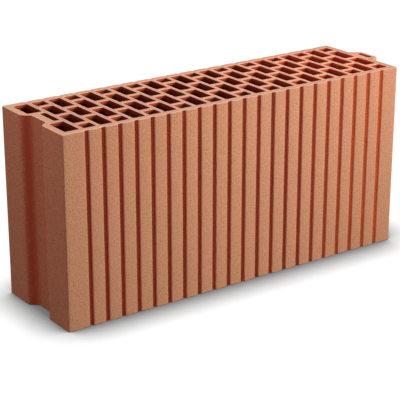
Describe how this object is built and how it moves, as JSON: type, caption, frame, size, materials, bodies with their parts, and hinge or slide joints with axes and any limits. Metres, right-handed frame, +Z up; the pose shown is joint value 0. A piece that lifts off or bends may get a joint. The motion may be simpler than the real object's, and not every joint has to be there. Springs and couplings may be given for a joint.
{
  "type": "hollow clay block",
  "caption": "Fired clay partition block with upright through cells, keying grooves on both long faces, and a tongue and a recess on its ends.",
  "frame": {"origin": "middle of the bounding box, tongue included, on the underside", "axes": "+X along the length towards the tongue, +Y across the width from the front long face to the back one, +Z up along the cells"},
  "size_m": [0.511, 0.14, 0.238],
  "materials": {
    "fired_clay": "extruded and fired red clay, dry and unglazed, with a fine open grain"
  },
  "bodies": {
    "root": {"clay_block": "fired_clay"}
  },
  "joints": []
}
